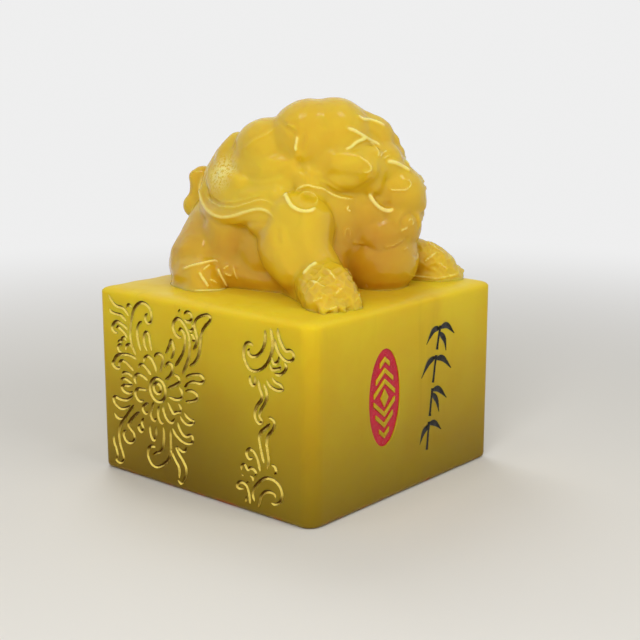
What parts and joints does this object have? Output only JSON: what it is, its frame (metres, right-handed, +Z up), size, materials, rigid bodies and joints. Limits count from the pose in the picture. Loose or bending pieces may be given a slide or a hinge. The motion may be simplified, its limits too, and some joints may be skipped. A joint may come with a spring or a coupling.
{
  "type": "seal stamp",
  "caption": "Square stone seal stamp with a carved winged-beast knob, gold-filled floral engraving, a red oval panel and a cut printing face.",
  "frame": {"origin": "middle of the printing face on the underside of the block", "axes": "+Z up through the knob; -X is the side with the gold scroll; -Y is the side with the red oval panel, which the beast faces"},
  "size_m": [0.0751, 0.075, 0.0997],
  "materials": {
    "stone": "waxed and polished yellow stone",
    "gold": "gold paint rubbed into the cuts",
    "red": "red paint on the panel's ground",
    "ink": "black ink in the cuts"
  },
  "bodies": {
    "root": {"stone_block": "stone", "beast_knob": "stone", "gold_petal_01": "gold", "gold_petal_02": "gold", "gold_petal_03": "gold", "gold_petal_04": "gold", "gold_petal_05": "gold", "gold_petal_06": "gold", "gold_petal_07": "gold", "gold_petal_08": "gold", "gold_petal_09": "gold", "gold_petal_10": "gold", "gold_petal_11": "gold", "gold_petal_12": "gold", "gold_petal_13": "gold", "gold_leaf_01": "gold", "gold_leaf_02": "gold", "gold_leaf_03": "gold", "gold_leaf_04": "gold", "gold_leaf_05": "gold", "gold_leaf_06": "gold", "gold_leaf_07": "gold", "gold_leaf_08": "gold", "gold_leaf_09": "gold", "gold_leaf_10": "gold", "gold_leaf_11": "gold", "gold_leaf_12": "gold", "gold_leaf_13": "gold", "gold_leaf_14": "gold", "gold_leaf_15": "gold", "gold_leaf_16": "gold", "gold_leaf_17": "gold", "gold_leaf_18": "gold", "gold_leaf_19": "gold", "gold_leaf_20": "gold", "gold_leaf_21": "gold", "gold_leaf_22": "gold", "gold_leaf_23": "gold", "gold_leaf_24": "gold", "gold_leaf_25": "gold", "gold_vine_01": "gold", "gold_vine_02": "gold", "gold_vine_03": "gold", "gold_vine_04": "gold", "gold_vine_05": "gold", "gold_vine_06": "gold", "gold_vine_07": "gold", "gold_vine_08": "gold", "gold_vine_09": "gold", "gold_vine_10": "gold", "gold_vine_11": "gold", "gold_vine_12": "gold", "gold_vine_13": "gold", "gold_flower_ring": "gold", "gold_flower_eye": "gold", "ink_bamboo_01": "ink", "ink_bamboo_02": "ink", "ink_bamboo_03": "ink", "ink_bamboo_04": "ink", "red_panel_ground": "red"}
  },
  "joints": []
}
